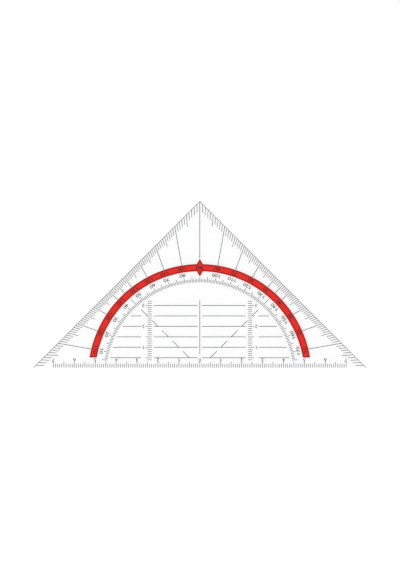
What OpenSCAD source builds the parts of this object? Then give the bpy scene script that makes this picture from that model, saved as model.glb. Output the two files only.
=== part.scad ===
// Flexible set square: one clear sheet, a right-angled isosceles triangle, printed on its upper face.
// Millimetres and degrees. The origin is the zero mark on the ruling edge, at the underside.
// +X runs along the ruling edge, +Y points to the right-angled corner, +Z points out of the print.
// Degree lines aim at the zero mark. The arcs have a centre of their own, below the ruling edge.

/* [Sheet] */
// Length of the ruling edge, from corner to corner
base_l = 160; // [140:1:220]
// Thickness of the sheet
sheet_t = 1.5; // [1:0.1:3]
// Radius of the three corners, seen from above
corner_r = 0.3; // [0.2:0.05:2]
// Width of the broken edge round both faces
edge_break = 0.06; // [0.04:0.01:0.2]

/* [Ink] */
// Thickness of the ink film
ink_t = 0.03; // [0.01:0.005:0.1]
// Width of a printed line
line_w = 0.28; // [0.1:0.01:0.4]
// Width of a mark of a scale
mark_w = 0.25; // [0.1:0.01:0.4]
// Bare strip between the broken edge and the print
bare_strip = 0.02; // [0.01:0.01:0.1]

/* [Ruling edge scale] */
// Least distance from a corner to the last centimetre mark
scale_end = 10; // [5:0.5:15]
// Height of the feet of the marks above the ruling edge
scale_foot = 0.3; // [0.1:0.05:0.6]
// Height of a millimetre mark above the ruling edge
millimetre_mark = 2.1; // [1:0.05:2.5]
// Height of a half centimetre or centimetre mark above the ruling edge
centimetre_mark = 3.05; // [2.6:0.05:3.5]

/* [Leg degree scales] */
// Width of the line along a leg
leg_line_w = 0.2; // [0.1:0.01:0.4]
// Depth of a degree mark, square to the leg
degree_mark = 3; // [1.5:0.1:3.5]
// Depth of a five degree mark, square to the leg
five_degree_mark = 4.5; // [3.6:0.1:6]

/* [Red band] */
// Drop from the ruling edge to the centre of the arcs
arc_drop = 3.7; // [0:0.1:6]
// Gap between the five degree marks and the band
band_gap = 1.15; // [1:0.05:3]
// Width of the band
band_w = 3.5; // [2.4:0.1:4]
// Height of the band's cut feet above the ruling edge
band_foot = 5.1; // [4:0.1:8]
// Height of the index at ninety degrees
index_h = 8.7; // [5:0.1:9.5]
// Width of the index at ninety degrees
index_w = 4.9; // [3:0.1:6]
// Gap between the band and the ten degree lines
ray_gap = 0.05; // [0.05:0.05:0.9]

/* [Inner degree ring] */
// Room for the numbers between the ring and the band
number_room = 3.75; // [3.5:0.05:5]
// Length of a degree mark in the ring
ring_mark = 1.5; // [1:0.1:2.5]
// Extra length of a five degree mark
ring_five_extra = 1.05; // [0.3:0.05:1.2]
// Extra length of the marks at 45 and 135 degrees
ring_diagonal_extra = 3.15; // [1.5:0.05:3.4]
// First angle of the ring
ring_start = 5; // [5:1:10]
// Gap between the index's tips and the lines that point at them
tip_gap = 0.15; // [0.05:0.05:0.5]

/* [Parallel lines and height scales] */
// Gap between the centre line and a parallel line
centre_gap = 1; // [0.5:0.1:3]
// Gap between the ring and the print inside it
inside_gap = 1; // [0.5:0.1:2]
// Distance from the centre line to a height scale
height_x = 23; // [21:0.5:24]
// Length of a millimetre mark on a height scale
height_mark = 2; // [1:0.1:2.5]
// Length of a five millimetre mark on a height scale
height_five_mark = 3; // [2.6:0.1:4]
// Gap between a parallel line and the marks of a height scale
side_gap = 1; // [0.5:0.1:2]
// Room for a number beside a height scale
height_number_room = 2; // [1.5:0.1:3]
// Lowest mark of a height scale
height_low = 4; // [4:1:9]

/* [Centre line and diagonals] */
// Height of the lower end of the centre line
centre_low = 6.6; // [5.5:0.1:10]
// Rise of the lower centre line above the height scales
centre_rise = 0.5; // [0:0.1:1]
// Run of a diagonal dash along the ruling edge
dash_run = 3.4; // [1.5:0.1:3.6]

/* [Hidden] */
$fn = 360;

// Divisions of the scales: on a millimetre scale every fifth mark is a long one
millimetre = 1;
long_step = 5;
half_centimetre = long_step * millimetre;
centimetre = 2 * half_centimetre;
degree = 1;
five_degrees = 5;
ten_degrees = 10;

// Angles of the triangle
half_turn = 180;
right_angle = 90;
leg_angle = 45;

// Sheet: the right leg runs from [half_l, 0] to [0, half_l]
half_l = base_l / 2;
leg_distance = half_l * sin(leg_angle);
corner_sides = 32;
corner_centre = [half_l - corner_r / tan(leg_angle / 2), corner_r];
left_corner_centre = [-corner_centre.x, corner_centre.y];
apex_centre = [0, half_l - corner_r / sin(leg_angle)];
clear_colour = [0.86, 0.93, 0.94, 0.35];

// Ink: the print starts where the flat of the upper face starts
print_inset = edge_break + bare_strip;
print_r = corner_r - print_inset;
half_line = line_w / 2;
half_mark = mark_w / 2;
leg_line_depth = print_inset + leg_line_w / 2;
black_ink = [0.08, 0.08, 0.09];
red_ink = [0.9, 0.18, 0.16];

// Arcs, from the leg inwards
arc_centre = [0, -arc_drop];
leg_radius = leg_distance + arc_drop * sin(leg_angle);
band_outer = leg_radius - five_degree_mark - band_gap;
band_inner = band_outer - band_w;
band_middle = (band_outer + band_inner) / 2;
ray_radius = band_outer + ray_gap;
ring_outer = band_inner - number_room;
ring_inner = ring_outer - ring_mark;
inside_radius = ring_inner - inside_gap;
index_radius = band_middle - index_h / 2 - tip_gap;
index_y = band_middle - arc_drop;

// Print inside the ring
scale_marks = 2 * long_step * floor((half_l - scale_end) / centimetre);
height_end = height_x + height_mark;
height_first = ceil(height_low / millimetre);
height_last = floor((arc_half_width(height_end) - arc_drop) / millimetre);
height_top = height_last * millimetre;
line_count = floor(height_top / half_centimetre);
inner_line_end = height_x - side_gap;
outer_line_start = height_x + height_five_mark + height_number_room;
half_dash = half_line / sin(leg_angle);

// Half the chord of the inside circle at a distance from its centre
function arc_half_width(distance) = sqrt(max(0, pow(inside_radius, 2) - pow(distance, 2)));

// A point beside the degree line at an angle: how far along it, and how far to its side
function ray_point(angle, distance, side) =
    [distance * cos(angle) - side * sin(angle), distance * sin(angle) + side * cos(angle)];

// Distance from the zero mark along a degree line to a circle about the centre of the arcs
function reach_to_arc(angle, radius) =
    sqrt(pow(radius, 2) - pow(arc_drop * cos(angle), 2)) - arc_drop * sin(angle);

// Distance from the zero mark along one side of a degree line to a depth under the leg
function reach_to_leg(angle, side, depth) =
    (leg_distance - depth + side * sin(angle - leg_angle)) / cos(angle - leg_angle);

// Whether a degree line is drawn from the leg right down to the band
function is_long(angle) = angle % ten_degrees == 0 || angle == leg_angle;

// Depth of a degree line that is not drawn down to the band
function mark_depth(angle) = angle % five_degrees == 0 ? five_degree_mark : degree_mark;

// Outer radius of a mark in the ring
function ring_mark_end(angle) =
    angle == right_angle ? index_radius
    : angle % right_angle == leg_angle ? ring_outer + ring_diagonal_extra
    : angle % five_degrees == 0 ? ring_outer + ring_five_extra
    : ring_outer;

// What is cut away along the lower edge of a side, seen along it: outwards in X, upwards in Y
module edge_cut() {
    past = edge_break;
    polygon([
        [-edge_break - past, -past],
        [past, -past],
        [past, edge_break + past]
    ]);
}

// Both edges of one side, broken from end to end
module broken_edges(normal_angle, distance) {
    rotate([0, 0, normal_angle])
        translate([distance, 0, 0])
            rotate([right_angle, 0, 0])
                linear_extrude(2 * base_l, center = true) {
                    edge_cut();
                    translate([0, sheet_t])
                        mirror([0, 1])
                            edge_cut();
                }
}

// The triangle of the sheet, or of the room for its print, by the radius about the corners' centres
module triangle(radius) {
    hull()
        for (centre = [left_corner_centre, corner_centre, apex_centre])
            translate(centre)
                circle(radius, $fn = corner_sides);
}

module clear_sheet() {
    color(clear_colour)
        difference() {
            linear_extrude(sheet_t)
                triangle(corner_r);
            broken_edges(-right_angle, 0);
            broken_edges(leg_angle, leg_distance);
            broken_edges(half_turn - leg_angle, leg_distance);
        }
}

// A flat print, laid on the upper face as a film of ink
module film() {
    translate([0, 0, sheet_t])
        linear_extrude(ink_t)
            children();
}

// The same print on the other side of the centre line
module left_side() {
    mirror([1, 0, 0])
        children();
}

// A bar along X or Y, given by its lowest corner and its size
module bar(corner, size) {
    translate(corner)
        square(size);
}

module red_degree_band() {
    half_index = [index_w, index_h] / 2;
    color(red_ink)
        film()
            union() {
                difference() {
                    translate(arc_centre)
                        circle(band_outer);
                    translate(arc_centre)
                        circle(band_inner);
                    bar([-base_l, band_foot - 2 * base_l], [2 * base_l, 2 * base_l]);
                }
                translate([0, index_y])
                    polygon([
                        [half_index.x, 0],
                        [0, half_index.y],
                        [-half_index.x, 0],
                        [0, -half_index.y]
                    ]);
            }
}

module ruling_edge_scale() {
    color(black_ink)
        film()
            for (mark = [-scale_marks : scale_marks])
                let (top = mark % long_step == 0 ? centimetre_mark : millimetre_mark)
                    bar([mark * millimetre - half_mark, scale_foot], [mark_w, top - scale_foot]);
}

// The line along the right leg, with more than its length and its width for the triangle to trim
module leg_line() {
    rotate(leg_angle)
        bar([leg_distance - print_inset - leg_line_w, -base_l], [print_inset + leg_line_w, 2 * base_l]);
}

// One degree line of the right leg, from the leg's line inwards, with an end for each of its sides
module leg_mark(angle, half_width, right_reach, left_reach) {
    polygon([
        ray_point(angle, reach_to_leg(angle, -half_width, leg_line_depth), -half_width),
        ray_point(angle, reach_to_leg(angle, half_width, leg_line_depth), half_width),
        ray_point(angle, left_reach, half_width),
        ray_point(angle, right_reach, -half_width)
    ]);
}

module leg_degree_scale() {
    color(black_ink)
        film()
            intersection() {
                union() {
                    leg_line();
                    for (angle = [degree : degree : right_angle - degree])
                        if (is_long(angle)) {
                            reach = reach_to_arc(angle, ray_radius);
                            leg_mark(angle, half_line, reach, reach);
                        } else {
                            depth = mark_depth(angle);
                            leg_mark(
                                angle,
                                half_mark,
                                reach_to_leg(angle, -half_mark, depth),
                                reach_to_leg(angle, half_mark, depth)
                            );
                        }
                }
                triangle(print_r);
                bar([half_line, 0], [half_l, half_l]);
            }
}

module left_leg_degree_scale() {
    left_side()
        leg_degree_scale();
}

module right_leg_degree_scale() {
    leg_degree_scale();
}

module inner_degree_ring() {
    color(black_ink)
        film()
            for (angle = [ring_start : degree : half_turn - ring_start])
                let (
                    start = reach_to_arc(angle, ring_inner),
                    end = reach_to_arc(angle, ring_mark_end(angle))
                )
                    rotate(angle)
                        bar([start, -half_mark], [end - start, mark_w]);
}

module upper_centre_line() {
    low = index_y + index_h / 2 + tip_gap;
    color(black_ink)
        film()
            intersection() {
                bar([-half_line, low], [line_w, half_l - low]);
                triangle(print_r);
            }
}

module lower_centre_line() {
    color(black_ink)
        film()
            bar([-half_line, centre_low], [line_w, height_top + centre_rise - centre_low]);
}

// Each line runs up to the height scale, and on beyond it where the ring leaves room
module parallel_lines() {
    color(black_ink)
        film()
            for (line = [1 : line_count]) {
                y = line * half_centimetre;
                outer_line_end = arc_half_width(y + arc_drop);
                bar([centre_gap, y - half_line], [inner_line_end - centre_gap, line_w]);
                if (outer_line_end > outer_line_start + line_w)
                    bar([outer_line_start, y - half_line], [outer_line_end - outer_line_start, line_w]);
            }
}

module left_parallel_lines() {
    left_side()
        parallel_lines();
}

module right_parallel_lines() {
    parallel_lines();
}

module height_scale() {
    color(black_ink)
        film()
            for (mark = [height_first : height_last])
                let (length = mark % long_step == 0 ? height_five_mark : height_mark)
                    bar([height_x, mark * millimetre - half_mark], [length, mark_w]);
}

module left_height_scale() {
    left_side()
        height_scale();
}

module right_height_scale() {
    height_scale();
}

// One dash of the line at 45 degrees, between two heights
module dash(low, high) {
    if (high > low + line_w)
        polygon([
            [low - half_dash, low],
            [low + half_dash, low],
            [high + half_dash, high],
            [high - half_dash, high]
        ]);
}

// Each dash stands on a parallel line, and is left out where the marks of the height scale are
module diagonal_dashes() {
    color(black_ink)
        film()
            for (line = [1 : line_count]) {
                start = line * half_centimetre;
                low = start + half_line;
                high = start + dash_run - line_w;
                if (norm([start + dash_run, start + dash_run] - arc_centre) < inside_radius) {
                    dash(low, min(high, height_x - half_dash));
                    dash(max(low, height_end + half_dash), high);
                }
            }
}

module left_diagonal_dashes() {
    left_side()
        diagonal_dashes();
}

module right_diagonal_dashes() {
    diagonal_dashes();
}

clear_sheet();
red_degree_band();
ruling_edge_scale();
left_leg_degree_scale();
right_leg_degree_scale();
inner_degree_ring();
upper_centre_line();
lower_centre_line();
left_parallel_lines();
right_parallel_lines();
left_height_scale();
right_height_scale();
left_diagonal_dashes();
right_diagonal_dashes();
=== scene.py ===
"""Dresses the flexible set square: a clear sheet, its printed scales and numbers, and a white studio."""

import math

import bmesh
import bpy
from bpy.props import FloatProperty, FloatVectorProperty, PointerProperty
from mathutils import Matrix, Vector


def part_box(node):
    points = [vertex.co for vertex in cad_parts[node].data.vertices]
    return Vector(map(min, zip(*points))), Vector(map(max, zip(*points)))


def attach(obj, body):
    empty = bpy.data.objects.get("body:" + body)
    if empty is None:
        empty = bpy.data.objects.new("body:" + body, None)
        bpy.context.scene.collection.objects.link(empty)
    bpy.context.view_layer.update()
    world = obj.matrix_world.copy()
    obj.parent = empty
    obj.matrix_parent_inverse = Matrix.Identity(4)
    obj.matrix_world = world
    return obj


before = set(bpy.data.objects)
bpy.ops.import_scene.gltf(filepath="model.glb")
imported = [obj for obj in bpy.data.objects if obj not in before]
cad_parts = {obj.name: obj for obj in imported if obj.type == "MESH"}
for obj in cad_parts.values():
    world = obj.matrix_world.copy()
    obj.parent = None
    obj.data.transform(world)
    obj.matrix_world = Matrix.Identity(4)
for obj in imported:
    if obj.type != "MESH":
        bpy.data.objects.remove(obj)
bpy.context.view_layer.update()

bl_info = {
    "name": "Flexible set square",
    "version": (1, 0, 0),
    "blender": (4, 5, 0),
    "location": "View3D > Sidebar > Set square",
    "description": "Finishes the clear sheet, its ink and its numbers, and lights them on a white floor",
    "category": "Object",
}

# Places taken from the solids
SHEET_LOW, SHEET_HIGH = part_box("clear_sheet")
BAND_LOW, BAND_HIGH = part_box("red_degree_band")
MARKS_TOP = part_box("ruling_edge_scale")[1].y
HEIGHT_MARKS_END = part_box("right_height_scale")[1].x
SHEET_TOP = SHEET_HIGH.z
BAND_TOP = BAND_HIGH.z
FILM = BAND_TOP - SHEET_TOP
SHEET_MIDDLE = (SHEET_LOW + SHEET_HIGH) / 2

# Points of a digit that lie nearer than this are one point
SAME_POINT = FILM / 100

# Solids in black ink, and the steps and ends of the scales
BLACK_NODES = [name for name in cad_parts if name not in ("clear_sheet", "red_degree_band")]
CENTIMETRE = 0.01
LAST_CENTIMETRE = 7
LAST_HEIGHT = 3
TEN_DEGREES = 10
RIGHT_ANGLE = 90
HALF_TURN = 180

# Numbers that aren't centred on their marks, and how far they stand off them
ASIDE_ON_BAND = {10: -0.0003, 20: -0.0002, 30: -0.0003, 40: -0.0003, 110: 0.0003}
ASIDE_IN_RING = {70: 0.0006, 80: 0.0005, 140: -0.0006, 150: -0.0002, 160: -0.0003}
ASIDE_ON_EDGE = {4: 0.00017, 7: -0.00018}

# Blender's own digits: their height for a font size of one, the steps along each of their curves,
# and those that are printed wider than they are drawn
FONT_HEIGHT = 0.682
FONT_SMOOTHNESS = 6
WIDENED = {"6": 1.12}

# Sets of fine scratches: the way they run, in radians, and the length and width of their pattern
SCRATCH_SETS = ((0.55, 0.022, 0.00038), (-0.9, 0.014, 0.00048))

# Stretches of a noise's values over which each effect of a finish comes up
INK_THINS = (0.4, 0.75)
INK_ROUGHENS = (0.3, 0.7)
SCRATCH_CUTS = (0.7, 0.76)
SMUDGE_SHOWS = (0.45, 0.7)
STREAK_PALES = (0.35, 0.65)

# Roughness of the ink where its grain is lowest and highest
INK_ROUGHNESS = (0.42, 0.62)

# How far a surface of the sheet faces up or down: what still counts as an edge, and what as a face
EDGE_TO_FACE = (0.2, 0.6)

# A mask that comes up over such a stretch, and one that dies away over it
RISING = (0, 1)
FALLING = (1, 0)

WHITE = (1, 1, 1)


class SheetSettings(bpy.types.PropertyGroup):
    """Finish of the clear sheet"""

    tint: FloatVectorProperty(
        name="Tint",
        description="What a thick piece of the plastic lets through",
        subtype="COLOR",
        min=0,
        max=1,
        default=(0.55, 0.78, 0.82),
    )
    tint_density: FloatProperty(
        name="Tint density",
        description="How fast the tint builds up inside the sheet, for each metre",
        min=0,
        default=5,
    )
    refraction: FloatProperty(
        name="Index of refraction",
        description="How strongly the plastic bends light",
        min=1,
        default=1.5,
    )
    polish: FloatProperty(
        name="Polish",
        description="Roughness of the sheet where nothing has touched it",
        subtype="FACTOR",
        min=0,
        max=1,
        default=0.012,
    )
    # Painted shade: a darker tint in the base colour of the narrow edges, though the plastic there is
    # the same as on the faces
    edge_tint: FloatVectorProperty(
        name="Edge tint",
        description="What the narrow edges of the sheet let through",
        subtype="COLOR",
        min=0,
        max=1,
        default=(0.24, 0.42, 0.45),
    )
    # Painted shade, paler where the cutter's streaks run along the narrow edges
    edge_pale: FloatVectorProperty(
        name="Pale edge tint",
        description="What the paler streaks along the narrow edges let through",
        subtype="COLOR",
        min=0,
        max=1,
        default=(0.5, 0.64, 0.66),
    )
    streak_length: FloatProperty(
        name="Streak length",
        description="Length of the fine streaks along the narrow edges",
        unit="LENGTH",
        min=0.0001,
        default=0.02,
    )
    streak_height: FloatProperty(
        name="Streak height",
        description="Height of the fine streaks along the narrow edges",
        unit="LENGTH",
        min=0.00001,
        default=0.0003,
    )
    edge_satin: FloatProperty(
        name="Edge satin",
        description="How much rougher the narrow edges are than the two faces",
        subtype="FACTOR",
        min=0,
        max=1,
        default=0.25,
    )
    shadow: FloatVectorProperty(
        name="Shadow",
        description="What one face of the sheet lets through to what lies under it",
        subtype="COLOR",
        min=0,
        max=1,
        default=(0.985, 0.988, 0.988),
    )
    scratch_depth: FloatProperty(
        name="Scratch depth",
        description="Depth of the fine scratches of use",
        unit="LENGTH",
        min=0,
        default=0.000004,
    )
    scratch_haze: FloatProperty(
        name="Scratch haze",
        description="How much rougher the sheet is in a scratch",
        subtype="FACTOR",
        min=0,
        max=1,
        default=0.2,
    )
    smudge_haze: FloatProperty(
        name="Smudge haze",
        description="How much rougher the sheet is under a smudge",
        subtype="FACTOR",
        min=0,
        max=1,
        default=0.03,
    )
    smudges: FloatProperty(
        name="Smudges to a metre",
        description="How close together the smudges on the sheet are",
        min=0,
        default=55,
    )


class InkSettings(bpy.types.PropertyGroup):
    """Finish of the black ink and the red ink"""

    black: FloatVectorProperty(
        name="Black ink",
        description="Colour of the black ink where it is full",
        subtype="COLOR",
        min=0,
        max=1,
        default=(0.008, 0.008, 0.009),
    )
    black_thin: FloatVectorProperty(
        name="Thin black ink",
        description="Colour of the black ink where it is thin",
        subtype="COLOR",
        min=0,
        max=1,
        default=(0.03, 0.03, 0.032),
    )
    red: FloatVectorProperty(
        name="Red ink",
        description="Colour of the red ink where it is full",
        subtype="COLOR",
        min=0,
        max=1,
        default=(0.78, 0.018, 0.01),
    )
    red_thin: FloatVectorProperty(
        name="Thin red ink",
        description="Colour of the red ink where it is thin",
        subtype="COLOR",
        min=0,
        max=1,
        default=(0.84, 0.03, 0.02),
    )
    border: FloatVectorProperty(
        name="Border",
        description="Colour of the darker line that runs inside the outline of the red band",
        subtype="COLOR",
        min=0,
        max=1,
        default=(0.16, 0.005, 0.004),
    )
    border_width: FloatProperty(
        name="Border width",
        description="Width of the darker line that runs inside the outline of the red band",
        unit="LENGTH",
        min=0,
        default=0.0004,
    )
    border_softness: FloatProperty(
        name="Border softness",
        description="How far each side of the darker line fades",
        unit="LENGTH",
        min=0.000001,
        default=0.00012,
    )
    hem: FloatProperty(
        name="Hem",
        description="Width of the bright red outside the darker line",
        unit="LENGTH",
        min=0,
        default=0.00022,
    )
    grain: FloatProperty(
        name="Grain",
        description="Size of the ink's grain",
        unit="LENGTH",
        min=0.00001,
        default=0.00018,
    )
    grain_depth: FloatProperty(
        name="Grain depth",
        description="Depth of the ink's grain",
        unit="LENGTH",
        min=0,
        default=0.000006,
    )
    patches: FloatProperty(
        name="Patches to a metre",
        description="How close together the slow patches of thinner ink are",
        min=0,
        default=140,
    )
    smudges: FloatProperty(
        name="Smudges to a metre",
        description="How close together the rubbed places on the ink are",
        min=0,
        default=80,
    )
    rub: FloatProperty(
        name="Rub",
        description="How much smoother the ink is where it is rubbed",
        subtype="FACTOR",
        min=0,
        max=1,
        default=0.08,
    )
    shine: FloatProperty(
        name="Shine",
        description="Specular level of the ink",
        subtype="FACTOR",
        min=0,
        max=1,
        default=0.2,
    )


class NumberSettings(bpy.types.PropertyGroup):
    """Sizes and places of the printed numbers, and of the arcs that they follow"""

    centimetre_size: FloatVectorProperty(
        name="Centimetre number size",
        description="What one height of Blender's own digits becomes, across the number and up it",
        size=2,
        subtype="XYZ",
        unit="LENGTH",
        default=(0.0017, 0.00152),
    )
    degree_size: FloatVectorProperty(
        name="Degree number size",
        description="What one height of Blender's own digits becomes, across the number and up it",
        size=2,
        subtype="XYZ",
        unit="LENGTH",
        default=(0.00206, 0.00146),
    )
    index_scale: FloatProperty(
        name="Index number scale",
        description="How much larger the number on the index is than the other degree numbers",
        min=1,
        default=1.28,
    )
    weight: FloatProperty(
        name="Weight",
        description="How far each side of a stroke stands out past that of Blender's own digits",
        unit="LENGTH",
        default=0.000022,
    )
    pitch: FloatProperty(
        name="Pitch",
        description="Distance from one digit of a number to the next",
        unit="LENGTH",
        default=0.0014,
    )
    edge_gap: FloatProperty(
        name="Gap over the marks",
        description="Gap between a centimetre mark and its number",
        unit="LENGTH",
        default=0.00012,
    )
    side_gap: FloatProperty(
        name="Gap beside the height scale",
        description="From the end of a long mark of a height scale to the middle of its number",
        unit="LENGTH",
        default=0.001,
    )
    arc_drop: FloatProperty(
        name="Arc drop",
        description="From the ruling edge down to the centre of the arcs",
        unit="LENGTH",
        default=0.0037,
    )
    band_width: FloatProperty(
        name="Band width",
        description="Width of the red band",
        unit="LENGTH",
        default=0.0035,
    )
    index_width: FloatProperty(
        name="Index width",
        description="Width of the index at ninety degrees",
        unit="LENGTH",
        default=0.0049,
    )
    ring_gap: FloatProperty(
        name="Gap inside the band",
        description="From the inner edge of the band to the middle of the numbers inside it",
        unit="LENGTH",
        default=0.00146,
    )


class StageSettings(bpy.types.PropertyGroup):
    """Floor, light and camera"""

    floor_colour: FloatVectorProperty(
        name="Floor",
        description="Colour of the floor",
        subtype="COLOR",
        min=0,
        max=1,
        default=(0.28, 0.28, 0.28),
    )
    floor_lift: FloatProperty(
        name="Floor lift",
        description="What is added to the floor where the camera sees it, so that it comes out white",
        min=0,
        default=0.745,
    )
    floor_gap: FloatProperty(
        name="Floor gap",
        description="Gap between the sheet and the floor",
        unit="LENGTH",
        default=0.0001,
    )
    floor_size: FloatProperty(
        name="Floor size",
        description="Length of a side of the floor",
        unit="LENGTH",
        default=8,
    )
    room_light: FloatProperty(
        name="Room light",
        description="Share of the light that comes from all round",
        subtype="FACTOR",
        default=0.6,
    )
    key_light: FloatProperty(
        name="Key light",
        description="Share of the light that comes from the large lamp",
        subtype="FACTOR",
        default=0.28,
    )
    fill_light: FloatProperty(
        name="Fill light",
        description="Share of the light that comes from the small lamp",
        subtype="FACTOR",
        default=0.12,
    )
    key_place: FloatVectorProperty(
        name="Key lamp place",
        description="From the middle of the sheet to the large lamp",
        subtype="TRANSLATION",
        unit="LENGTH",
        default=(-0.7, -0.5, 1.2),
    )
    key_size: FloatProperty(
        name="Key lamp size",
        description="Length of a side of the large lamp",
        unit="LENGTH",
        default=0.7,
    )
    fill_place: FloatVectorProperty(
        name="Fill lamp place",
        description="From the middle of the sheet to the small lamp",
        subtype="TRANSLATION",
        unit="LENGTH",
        default=(0.9, 0.6, 0.9),
    )
    fill_size: FloatProperty(
        name="Fill lamp size",
        description="Length of a side of the small lamp",
        unit="LENGTH",
        default=0.5,
    )
    view_height: FloatProperty(
        name="View height",
        description="Height of what the camera sees at the sheet",
        unit="LENGTH",
        default=0.2726,
    )
    view_centre: FloatVectorProperty(
        name="View centre",
        description="Point of the sheet at the middle of the view",
        size=2,
        subtype="TRANSLATION",
        unit="LENGTH",
        default=(0.0001, 0.0398),
    )
    view_distance: FloatProperty(
        name="View distance",
        description="Distance from the camera to the sheet",
        unit="LENGTH",
        default=2,
    )


def add(tree, kind, **settings):
    """A new shader node, with its own settings."""
    made = tree.nodes.new(kind)
    for name, value in settings.items():
        setattr(made, name, value)
    return made


def join(tree, source, target):
    """Links an output socket to an input socket."""
    tree.links.new(source, target)


def feed(tree, value, target):
    """Gives an input socket a value: an output socket, a number, or a colour without its alpha."""
    if isinstance(value, bpy.types.NodeSocket):
        join(tree, value, target)
    elif target.type == "RGBA":
        target.default_value = (*value, 1)
    else:
        target.default_value = value


def arithmetic(tree, operation, first, second=0):
    """A Math node on one or two inputs, each a socket or a number. Returns its output."""
    made = add(tree, "ShaderNodeMath", operation=operation)
    for value, target in zip((first, second), made.inputs):
        feed(tree, value, target)
    return made.outputs["Value"]


def spread(tree, value, source, target):
    """Maps a value from one range to another, held at its ends. Returns the output."""
    made = add(tree, "ShaderNodeMapRange", clamp=True)
    join(tree, value, made.inputs["Value"])
    made.inputs["From Min"].default_value, made.inputs["From Max"].default_value = source
    made.inputs["To Min"].default_value, made.inputs["To Max"].default_value = target
    return made.outputs["Result"]


def colour_mix(tree, factor, first, second):
    """Mixes two colours, each a socket or a plain colour. Returns the output."""
    made = add(tree, "ShaderNodeMix", data_type="RGBA")
    join(tree, factor, made.inputs["Factor"])
    ends = [socket for socket in made.inputs if socket.type == "RGBA"]
    for value, target in zip((first, second), ends):
        feed(tree, value, target)
    return next(socket for socket in made.outputs if socket.type == "RGBA")


def noise(tree, vector, scale, detail):
    """A noise texture. Returns its value."""
    made = add(tree, "ShaderNodeTexNoise")
    join(tree, vector, made.inputs["Vector"])
    feed(tree, scale, made.inputs["Scale"])
    feed(tree, detail, made.inputs["Detail"])
    return made.outputs["Fac"]


def stretched_noise(tree, size, turn, detail):
    """A noise drawn out to a size along each axis, and turned about Z. Returns its value."""
    drawn_out = add(tree, "ShaderNodeMapping", vector_type="TEXTURE")
    join(tree, add(tree, "ShaderNodeTexCoord").outputs["Object"], drawn_out.inputs["Vector"])
    feed(tree, (0, 0, turn), drawn_out.inputs["Rotation"])
    feed(tree, size, drawn_out.inputs["Scale"])
    return noise(tree, drawn_out.outputs["Vector"], scale=1, detail=detail)


def new_group(name, inputs, outputs):
    """An empty node group with named sockets. Returns its tree, its input node and its output node."""
    tree = bpy.data.node_groups.new(name, "ShaderNodeTree")
    for direction, sockets in (("INPUT", inputs), ("OUTPUT", outputs)):
        for socket_name, kind in sockets:
            tree.interface.new_socket(socket_name, in_out=direction, socket_type=kind)
    return tree, add(tree, "NodeGroupInput"), add(tree, "NodeGroupOutput")


def ink_film_group():
    """Screen-printed ink: a fine grain over slow patches where the ink lies thinner."""
    colour, value = "NodeSocketColor", "NodeSocketFloat"
    tree, given, result = new_group(
        "Ink film",
        [("Full Ink", colour), ("Thin Ink", colour), ("Grain Scale", value), ("Patch Scale", value)],
        [("Color", colour), ("Roughness", value), ("Height", value)],
    )
    place = add(tree, "ShaderNodeTexCoord").outputs["Object"]
    grain = noise(tree, place, given.outputs["Grain Scale"], detail=3)
    patches = noise(tree, place, given.outputs["Patch Scale"], detail=3)
    thin = arithmetic(tree, "MULTIPLY", spread(tree, grain, INK_THINS, RISING), patches)
    mixed = colour_mix(tree, thin, given.outputs["Full Ink"], given.outputs["Thin Ink"])
    join(tree, mixed, result.inputs["Color"])
    join(tree, spread(tree, grain, INK_ROUGHENS, INK_ROUGHNESS), result.inputs["Roughness"])
    join(tree, grain, result.inputs["Height"])
    return tree


def handling_marks_group():
    """Marks of use: fine straight scratches in two directions, and soft smudges."""
    value = "NodeSocketFloat"
    tree, given, result = new_group(
        "Handling marks",
        [("Smudge Scale", value)],
        [("Scratches", value), ("Smudges", value)],
    )
    strokes = []
    for turn, length, width in SCRATCH_SETS:
        stroke = stretched_noise(tree, (length, width, length), turn, detail=1)
        strokes.append(spread(tree, stroke, SCRATCH_CUTS, RISING))
    join(tree, arithmetic(tree, "MAXIMUM", *strokes), result.inputs["Scratches"])
    place = add(tree, "ShaderNodeTexCoord").outputs["Object"]
    smudge = noise(tree, place, given.outputs["Smudge Scale"], detail=4)
    join(tree, spread(tree, smudge, SMUDGE_SHOWS, RISING), result.inputs["Smudges"])
    return tree


def group_in(tree, name, make):
    """Places a shared group in a material, and builds it the first time."""
    made = add(tree, "ShaderNodeGroup")
    made.node_tree = bpy.data.node_groups.get(name) or make()
    return made


def new_material(name):
    """An empty material. Returns it, its tree, its Principled shader and its output."""
    material = bpy.data.materials.new(name)
    material.use_nodes = True
    tree = material.node_tree
    tree.nodes.clear()
    shader = add(tree, "ShaderNodeBsdfPrincipled")
    output = add(tree, "ShaderNodeOutputMaterial")
    join(tree, shader.outputs["BSDF"], output.inputs["Surface"])
    return material, tree, shader, output


def raise_surface(tree, height, depth, shader):
    """Feeds a height into a shader's normal as a bump of a real depth."""
    bump = add(tree, "ShaderNodeBump")
    feed(tree, depth, bump.inputs["Distance"])
    join(tree, height, bump.inputs["Height"])
    join(tree, bump.outputs["Normal"], shader.inputs["Normal"])


def narrow_edges(tree):
    """One on the narrow edges of the sheet, zero on its two faces."""
    axes = add(tree, "ShaderNodeSeparateXYZ")
    join(tree, add(tree, "ShaderNodeTexCoord").outputs["Normal"], axes.inputs["Vector"])
    return spread(tree, arithmetic(tree, "ABSOLUTE", axes.outputs["Z"]), EDGE_TO_FACE, FALLING)


def edge_streaks(tree, settings):
    """Fine streaks along the narrow edges, as a cutter leaves them: one where the painted edge shade is
    paler.
    """
    length, height = settings.streak_length, settings.streak_height
    streaks = stretched_noise(tree, (length, length, height), turn=0, detail=3)
    return spread(tree, streaks, STREAK_PALES, RISING)


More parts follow.
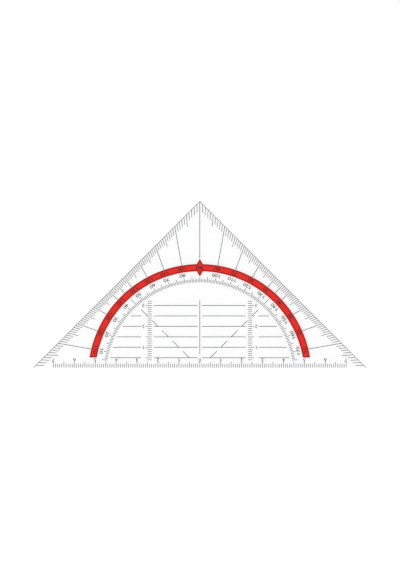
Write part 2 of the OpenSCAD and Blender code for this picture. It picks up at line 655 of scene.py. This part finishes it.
def wear_sheet(tree, shader, edges, settings):
    """Fine scratches, smudges and satin edges, in the sheet's roughness and normal."""
    marks = group_in(tree, "Handling marks", handling_marks_group)
    feed(tree, settings.smudges, marks.inputs["Smudge Scale"])
    scratched = arithmetic(tree, "MULTIPLY", marks.outputs["Scratches"], settings.scratch_haze)
    smudged = arithmetic(tree, "MULTIPLY", marks.outputs["Smudges"], settings.smudge_haze)
    worn = arithmetic(tree, "ADD", arithmetic(tree, "ADD", scratched, smudged), settings.polish)
    satin = arithmetic(tree, "MULTIPLY", edges, settings.edge_satin)
    join(tree, arithmetic(tree, "ADD", worn, satin), shader.inputs["Roughness"])
    raise_surface(tree, marks.outputs["Scratches"], -settings.scratch_depth, shader)


def let_light_through(tree, shader, output, settings):
    """Lets light, shadows and reflections pass straight through the sheet, with hardly any loss."""
    path = add(tree, "ShaderNodeLightPath")
    clear = add(tree, "ShaderNodeBsdfTransparent")
    feed(tree, settings.shadow, clear.inputs["Color"])
    surface = shader.outputs["BSDF"]
    for ray in ("Is Glossy Ray", "Is Diffuse Ray", "Is Shadow Ray"):
        either = add(tree, "ShaderNodeMixShader")
        join(tree, path.outputs[ray], either.inputs["Fac"])
        join(tree, surface, either.inputs[1])
        join(tree, clear.outputs["BSDF"], either.inputs[2])
        surface = either.outputs["Shader"]
    join(tree, surface, output.inputs["Surface"])


def tint_depth(tree, output, settings):
    """Tints light by how far it travels inside the sheet."""
    inside = add(tree, "ShaderNodeVolumeAbsorption")
    feed(tree, settings.tint, inside.inputs["Color"])
    feed(tree, settings.tint_density, inside.inputs["Density"])
    join(tree, inside.outputs["Volume"], output.inputs["Volume"])


def clear_plastic(settings):
    """Clear polished plastic, faintly tinted in its depth, with satin edges, painted shade as a darker
    tint on its narrow edges, and light marks of use.
    """
    material, tree, shader, output = new_material("clear_plastic_sheet")
    feed(tree, 1, shader.inputs["Transmission Weight"])
    feed(tree, settings.refraction, shader.inputs["IOR"])
    edges = narrow_edges(tree)
    # Painted shade: the narrow edges get a darker tint in their base colour, paler in the cutter's
    # streaks, while the faces stay white
    edge_shade_mix = colour_mix(tree, edge_streaks(tree, settings), settings.edge_tint, settings.edge_pale)
    join(tree, colour_mix(tree, edges, WHITE, edge_shade_mix), shader.inputs["Base Color"])
    wear_sheet(tree, shader, edges, settings)
    let_light_through(tree, shader, output, settings)
    tint_depth(tree, output, settings)
    return material


def ink(name, full, thin, settings):
    """Screen-printed ink. Returns the material, its tree, its shader and the ink's colour socket."""
    material, tree, shader, _ = new_material(name)
    film = group_in(tree, "Ink film", ink_film_group)
    feed(tree, full, film.inputs["Full Ink"])
    feed(tree, thin, film.inputs["Thin Ink"])
    feed(tree, 1 / settings.grain, film.inputs["Grain Scale"])
    feed(tree, settings.patches, film.inputs["Patch Scale"])
    marks = group_in(tree, "Handling marks", handling_marks_group)
    feed(tree, settings.smudges, marks.inputs["Smudge Scale"])
    rubbed = arithmetic(tree, "MULTIPLY", marks.outputs["Smudges"], -settings.rub)
    join(tree, arithmetic(tree, "ADD", film.outputs["Roughness"], rubbed), shader.inputs["Roughness"])
    join(tree, film.outputs["Color"], shader.inputs["Base Color"])
    feed(tree, settings.shine, shader.inputs["Specular IOR Level"])
    raise_surface(tree, film.outputs["Height"], settings.grain_depth, shader)
    return material, tree, shader, film.outputs["Color"]


def black_ink(settings):
    """The black ink, made once and shared by the scales and the numbers."""
    made = bpy.data.materials.get("black_ink_film")
    return made or ink("black_ink_film", settings.black, settings.black_thin, settings)[0]


def band_outer(numbers):
    """Outer radius of the band, from the corner of its foot."""
    return math.hypot(BAND_HIGH.x, BAND_LOW.y + numbers.arc_drop)


def depth_in_band(tree, numbers):
    """How far inside the outline of the red band and its index a point lies. Returns the output."""
    place = add(tree, "ShaderNodeTexCoord").outputs["Object"]
    axes = add(tree, "ShaderNodeSeparateXYZ")
    join(tree, place, axes.inputs["Vector"])
    x, y = axes.outputs["X"], axes.outputs["Y"]
    from_centre = add(tree, "ShaderNodeVectorMath", operation="DISTANCE")
    join(tree, place, from_centre.inputs[0])
    feed(tree, (0, -numbers.arc_drop, BAND_TOP), from_centre.inputs[1])
    half_width = numbers.band_width / 2
    middle = band_outer(numbers) - half_width
    off_middle = arithmetic(tree, "SUBTRACT", from_centre.outputs["Value"], middle)
    to_side = arithmetic(tree, "SUBTRACT", half_width, arithmetic(tree, "ABSOLUTE", off_middle))
    in_band = arithmetic(tree, "MINIMUM", to_side, arithmetic(tree, "SUBTRACT", y, BAND_LOW.y))
    index_y = middle - numbers.arc_drop
    index_half = Vector((numbers.index_width / 2, BAND_HIGH.y - index_y))
    along = arithmetic(tree, "DIVIDE", arithmetic(tree, "ABSOLUTE", x), index_half.x)
    off_index = arithmetic(tree, "SUBTRACT", y, index_y)
    upward = arithmetic(tree, "DIVIDE", arithmetic(tree, "ABSOLUTE", off_index), index_half.y)
    inside = arithmetic(tree, "SUBTRACT", 1, arithmetic(tree, "ADD", along, upward))
    in_index = arithmetic(tree, "MULTIPLY", inside, index_half.x * index_half.y / index_half.length)
    return arithmetic(tree, "MAXIMUM", in_band, in_index)


def red_ink(settings, numbers):
    """The red ink, with a darker line just inside the outline of the band and its index."""
    material, tree, shader, colour = ink("red_ink_film", settings.red, settings.red_thin, settings)
    depth = depth_in_band(tree, numbers)
    outer_side, fade = settings.hem, settings.border_softness / 2
    inner_side = outer_side + settings.border_width
    past_hem = spread(tree, depth, (outer_side - fade, outer_side + fade), RISING)
    near_outline = spread(tree, depth, (inner_side - fade, inner_side + fade), FALLING)
    border = arithmetic(tree, "MULTIPLY", past_hem, near_outline)
    join(tree, colour_mix(tree, border, colour, settings.border), shader.inputs["Base Color"])
    return material


def dress(node, material):
    """Gives a solid its finish."""
    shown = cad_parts[node]
    shown.data.materials.clear()
    shown.data.materials.append(material)


def font_digit(digit):
    """One digit of Blender's own font as a flat mesh, one unit high, with its middle at the origin."""
    letter = bpy.data.curves.new("digit", "FONT")
    letter.body = digit
    letter.resolution_u = FONT_SMOOTHNESS
    drawn = bpy.data.objects.new("digit", letter)
    flat = bpy.data.meshes.new_from_object(drawn)
    bpy.data.objects.remove(drawn)
    bpy.data.curves.remove(letter)
    across = [vertex.co.x for vertex in flat.vertices]
    middle = Vector(((min(across) + max(across)) / 2, FONT_HEIGHT / 2, 0))
    wider = Matrix.Scale(WIDENED.get(digit, 1), 4, (1, 0, 0))
    flat.transform(wider @ Matrix.Scale(1 / FONT_HEIGHT, 4) @ Matrix.Translation(-middle))
    return flat


def flagged_one():
    """The digit 1 as a flat mesh, one unit high: a stem with its middle at the origin, and a flag."""
    half_stem = 0.072
    flag_reach, flag_drop, flag_width = 0.34, 0.27, 0.15
    top, foot = 0.5, -0.5
    flag_meets_stem = top - flag_width - flag_drop * half_stem / flag_reach
    outline = [
        (-half_stem, foot),
        (half_stem, foot),
        (half_stem, top),
        (0, top),
        (-flag_reach, top - flag_drop),
        (-flag_reach, top - flag_drop - flag_width),
        (-half_stem, flag_meets_stem),
    ]
    shape = bmesh.new()
    shape.faces.new([shape.verts.new((x, y, 0)) for x, y in outline])
    flat = bpy.data.meshes.new("digit")
    shape.to_mesh(flat)
    shape.free()
    return flat


def lay_digits(shape, places, base, size, pitch):
    """Lays numbers flat on a base height. A place is a number, a point and a turn."""
    stretch = Matrix.Diagonal((*size, 1, 1))
    written = sorted(set("".join(str(number) for number, _, _ in places)))
    digits = {digit: flagged_one() if digit == "1" else font_digit(digit) for digit in written}
    for number, (x, y), turn in places:
        text = str(number)
        place = Matrix.Translation((x, y, base)) @ Matrix.Rotation(math.radians(turn), 4, "Z")
        for index, digit in enumerate(text):
            shift = (index - (len(text) - 1) / 2) * pitch
            before = len(shape.verts)
            shape.from_mesh(digits[digit])
            shape.verts.ensure_lookup_table()
            move = place @ Matrix.Translation((shift, 0, 0)) @ stretch
            bmesh.ops.transform(shape, matrix=move, verts=shape.verts[before:])
    for flat in digits.values():
        bpy.data.meshes.remove(flat)


def widen_strokes(shape, weight):
    """Moves each side of flat strokes outwards by a weight."""
    bmesh.ops.remove_doubles(shape, verts=shape.verts[:], dist=SAME_POINT)
    hems = bmesh.ops.inset_region(
        shape, faces=shape.faces[:], use_boundary=True, use_even_offset=True, thickness=-weight
    )["faces"]
    bmesh.ops.delete(shape, geom=hems, context="FACES")


def raise_film(shape):
    """Raises flat faces into a closed film of ink."""
    raised = bmesh.ops.extrude_face_region(shape, geom=shape.faces[:])["geom"]
    upper = [part for part in raised if isinstance(part, bmesh.types.BMVert)]
    bmesh.ops.translate(shape, vec=(0, 0, FILM), verts=upper)
    bmesh.ops.recalc_face_normals(shape, faces=shape.faces[:])


def place_mesh(context, name, shape, material):
    """Makes an object of a finished bmesh, at the origin, in one material."""
    mesh = bpy.data.meshes.new(name)
    shape.to_mesh(mesh)
    shape.free()
    mesh.materials.append(material)
    placed = bpy.data.objects.new(name, mesh)
    context.scene.collection.objects.link(placed)
    return placed


def print_numbers(context, name, places, base, size, pitch=0):
    """Prints numbers as one film of black ink on a base height."""
    shape = bmesh.new()
    lay_digits(shape, places, base, size, pitch)
    widen_strokes(shape, context.scene.set_square_numbers.weight)
    raise_film(shape)
    piece = place_mesh(context, name, shape, black_ink(context.scene.set_square_ink))
    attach(piece, "root")


def on_arc(angle, radius, numbers):
    """Where the degree line at an angle from the zero mark meets a circle about the arcs' centre."""
    along = Vector((math.cos(math.radians(angle)), math.sin(math.radians(angle))))
    reach = math.sqrt(radius**2 - (numbers.arc_drop * along.x) ** 2) - numbers.arc_drop * along.y
    return reach * along


def degree_places(radius, numbers, number_at, aside):
    """A place for each ten degrees of a circle, where the heads of the digits point at the zero mark."""
    places = []
    for angle in range(TEN_DEGREES, HALF_TURN, TEN_DEGREES):
        turn = angle + RIGHT_ANGLE
        reading = Vector((math.cos(math.radians(turn)), math.sin(math.radians(turn))))
        number = number_at(angle)
        places.append((number, on_arc(angle, radius, numbers) + aside.get(number, 0) * reading, turn))
    return places


class SETSQUARE_OT_clear_sheet(bpy.types.Operator):
    """Give the sheet its clear polished plastic"""

    bl_idname = "set_square.clear_sheet"
    bl_label = "Clear sheet"

    def execute(self, context):
        dress("clear_sheet", clear_plastic(context.scene.set_square_sheet))
        return {"FINISHED"}


class SETSQUARE_OT_printed_scales(bpy.types.Operator):
    """Give every printed line and mark its black ink"""

    bl_idname = "set_square.printed_scales"
    bl_label = "Printed scales"

    def execute(self, context):
        for node in BLACK_NODES:
            dress(node, black_ink(context.scene.set_square_ink))
        return {"FINISHED"}


class SETSQUARE_OT_red_band(bpy.types.Operator):
    """Give the degree band its red ink"""

    bl_idname = "set_square.red_band"
    bl_label = "Red band"

    def execute(self, context):
        scene = context.scene
        dress("red_degree_band", red_ink(scene.set_square_ink, scene.set_square_numbers))
        return {"FINISHED"}


class SETSQUARE_OT_ruling_edge_numbers(bpy.types.Operator):
    """Print the centimetre numbers over the ruling edge"""

    bl_idname = "set_square.ruling_edge_numbers"
    bl_label = "Ruling edge numbers"

    def execute(self, context):
        numbers = context.scene.set_square_numbers
        size = numbers.centimetre_size
        y = MARKS_TOP + numbers.edge_gap + size[1] / 2
        places = [
            (abs(count), (count * CENTIMETRE + ASIDE_ON_EDGE.get(abs(count), 0), y), HALF_TURN)
            for count in range(-LAST_CENTIMETRE, LAST_CENTIMETRE + 1)
        ]
        print_numbers(context, "ruling_edge_numbers", places, SHEET_TOP, size)
        return {"FINISHED"}


class SETSQUARE_OT_degree_numbers(bpy.types.Operator):
    """Print the degree numbers on the band and inside it"""

    bl_idname = "set_square.degree_numbers"
    bl_label = "Degree numbers"

    def execute(self, context):
        numbers = context.scene.set_square_numbers
        size = Vector(numbers.degree_size)
        larger = numbers.index_scale
        outer = band_outer(numbers)
        band_radius = outer - numbers.band_width / 2
        round_band = degree_places(band_radius, numbers, lambda angle: angle, ASIDE_ON_BAND)
        on_band = [place for place in round_band if place[0] != RIGHT_ANGLE]
        on_index = [place for place in round_band if place[0] == RIGHT_ANGLE]
        print_numbers(context, "band_degree_numbers", on_band, BAND_TOP, size, numbers.pitch)
        print_numbers(context, "index_number", on_index, BAND_TOP, larger * size, larger * numbers.pitch)
        ring_radius = outer - numbers.band_width - numbers.ring_gap
        round_ring = degree_places(ring_radius, numbers, lambda angle: HALF_TURN - angle, ASIDE_IN_RING)
        in_ring = [place for place in round_ring if place[0] != RIGHT_ANGLE]
        print_numbers(context, "inner_degree_numbers", in_ring, SHEET_TOP, size, numbers.pitch)
        return {"FINISHED"}


class SETSQUARE_OT_height_numbers(bpy.types.Operator):
    """Print the centimetre numbers beside the two height scales"""

    bl_idname = "set_square.height_numbers"
    bl_label = "Height scale numbers"

    def execute(self, context):
        numbers = context.scene.set_square_numbers
        x = HEIGHT_MARKS_END + numbers.side_gap
        for side, sign in (("left", -1), ("right", 1)):
            places = [
                (count, (sign * x, count * CENTIMETRE), HALF_TURN) for count in range(1, LAST_HEIGHT + 1)
            ]
            print_numbers(context, f"{side}_height_numbers", places, SHEET_TOP, numbers.centimetre_size)
        return {"FINISHED"}


def seen_directly(tree):
    """One where the camera sees a surface, straight or by way of gloss or glass, and zero elsewhere."""
    path = add(tree, "ShaderNodeLightPath").outputs
    by_gloss = arithmetic(tree, "MAXIMUM", path["Is Camera Ray"], path["Is Glossy Ray"])
    return arithmetic(tree, "MAXIMUM", by_gloss, path["Is Transmission Ray"])


def lay_floor(context, settings):
    """A plain pale floor that comes out white and still takes the object's shadow."""
    material, tree, shader, _ = new_material("studio_floor")
    feed(tree, settings.floor_colour, shader.inputs["Base Color"])
    feed(tree, 1, shader.inputs["Roughness"])
    feed(tree, 0, shader.inputs["Specular IOR Level"])
    feed(tree, WHITE, shader.inputs["Emission Color"])
    lift = arithmetic(tree, "MULTIPLY", seen_directly(tree), settings.floor_lift)
    join(tree, lift, shader.inputs["Emission Strength"])
    shape = bmesh.new()
    under = Matrix.Translation((0, SHEET_MIDDLE.y, SHEET_LOW.z - settings.floor_gap))
    bmesh.ops.create_grid(shape, x_segments=1, y_segments=1, size=settings.floor_size / 2, matrix=under)
    floor = place_mesh(context, "studio_floor", shape, material)


def light_room(context, settings):
    """An even white room. It lights the object with its share, and shows as plain white."""
    world = bpy.data.worlds.new("white_room")
    world.use_nodes = True
    tree = world.node_tree
    tree.nodes.clear()
    light = add(tree, "ShaderNodeBackground")
    feed(tree, settings.room_light, light.inputs["Strength"])
    shown = add(tree, "ShaderNodeBackground")
    for background in (light, shown):
        feed(tree, WHITE, background.inputs["Color"])
    either = add(tree, "ShaderNodeMixShader")
    join(tree, seen_directly(tree), either.inputs["Fac"])
    join(tree, light.outputs["Background"], either.inputs[1])
    join(tree, shown.outputs["Background"], either.inputs[2])
    join(tree, either.outputs["Shader"], add(tree, "ShaderNodeOutputWorld").inputs["Surface"])
    context.scene.world = world


def hang_lamp(context, name, offset, side, share):
    """A square soft lamp that faces the sheet, and gives a share of the light on a white card there."""
    lamp = bpy.data.lights.new(name, "AREA")
    lamp.shape = "SQUARE"
    lamp.size = side
    way = Vector(offset)
    slant = way.normalized().z
    # A white card that faces the lamp, one metre away, shows a strength of one at pi squared watts
    lamp.energy = share * math.pi**2 * way.length_squared / slant
    hung = bpy.data.objects.new(name, lamp)
    hung.location = SHEET_MIDDLE + way
    hung.rotation_mode = "QUATERNION"
    hung.rotation_quaternion = way.to_track_quat("Z", "Y")
    context.scene.collection.objects.link(hung)


def set_camera(context, settings):
    """A camera straight above the sheet, with a lens long enough to draw it flat."""
    lens = bpy.data.cameras.new("camera")
    # With this fit the sensor's width spans the longer side of the picture, which is its height
    lens.sensor_fit = "AUTO"
    lens.lens = lens.sensor_width * settings.view_distance / settings.view_height
    camera = bpy.data.objects.new("camera", lens)
    camera.location = (*settings.view_centre, SHEET_TOP + settings.view_distance)
    context.scene.collection.objects.link(camera)
    context.scene.camera = camera


class SETSQUARE_OT_stage(bpy.types.Operator):
    """Lay the floor, light the room and set the camera"""

    bl_idname = "set_square.stage"
    bl_label = "Studio"

    def execute(self, context):
        settings = context.scene.set_square_stage
        lay_floor(context, settings)
        light_room(context, settings)
        hang_lamp(context, "key_lamp", settings.key_place, settings.key_size, settings.key_light)
        hang_lamp(context, "fill_lamp", settings.fill_place, settings.fill_size, settings.fill_light)
        set_camera(context, settings)
        context.scene.view_settings.view_transform = "Standard"
        return {"FINISHED"}


STEPS = (
    SETSQUARE_OT_clear_sheet,
    SETSQUARE_OT_printed_scales,
    SETSQUARE_OT_red_band,
    SETSQUARE_OT_ruling_edge_numbers,
    SETSQUARE_OT_degree_numbers,
    SETSQUARE_OT_height_numbers,
    SETSQUARE_OT_stage,
)
SETTINGS = {
    "set_square_sheet": SheetSettings,
    "set_square_ink": InkSettings,
    "set_square_numbers": NumberSettings,
    "set_square_stage": StageSettings,
}


class SETSQUARE_PT_panel(bpy.types.Panel):
    """The steps that finish the set square, and their settings"""

    bl_idname = "SETSQUARE_PT_panel"
    bl_label = "Set square"
    bl_space_type = "VIEW_3D"
    bl_region_type = "UI"
    bl_category = "Set square"

    def draw(self, context):
        for step in STEPS:
            self.layout.operator(step.bl_idname)
        for name in SETTINGS:
            group = getattr(context.scene, name)
            box = self.layout.box()
            for setting in group.bl_rna.properties:
                if not setting.is_readonly and setting.identifier != "name":
                    box.prop(group, setting.identifier)


CLASSES = (*SETTINGS.values(), *STEPS, SETSQUARE_PT_panel)


def register():
    """Adds the classes, and their settings on the scene."""
    for made in CLASSES:
        bpy.utils.register_class(made)
    for name, group in SETTINGS.items():
        setattr(bpy.types.Scene, name, PointerProperty(type=group))


def unregister():
    """Takes the settings and the classes away again."""
    for name in SETTINGS:
        delattr(bpy.types.Scene, name)
    for made in reversed(CLASSES):
        bpy.utils.unregister_class(made)


def main():
    """Runs every step on the loaded frame."""
    register()
    bpy.ops.set_square.stage()
    bpy.ops.set_square.clear_sheet()
    bpy.ops.set_square.printed_scales()
    bpy.ops.set_square.red_band()
    bpy.ops.set_square.ruling_edge_numbers()
    bpy.ops.set_square.degree_numbers()
    bpy.ops.set_square.height_numbers()


if __name__ == "__main__":
    main()
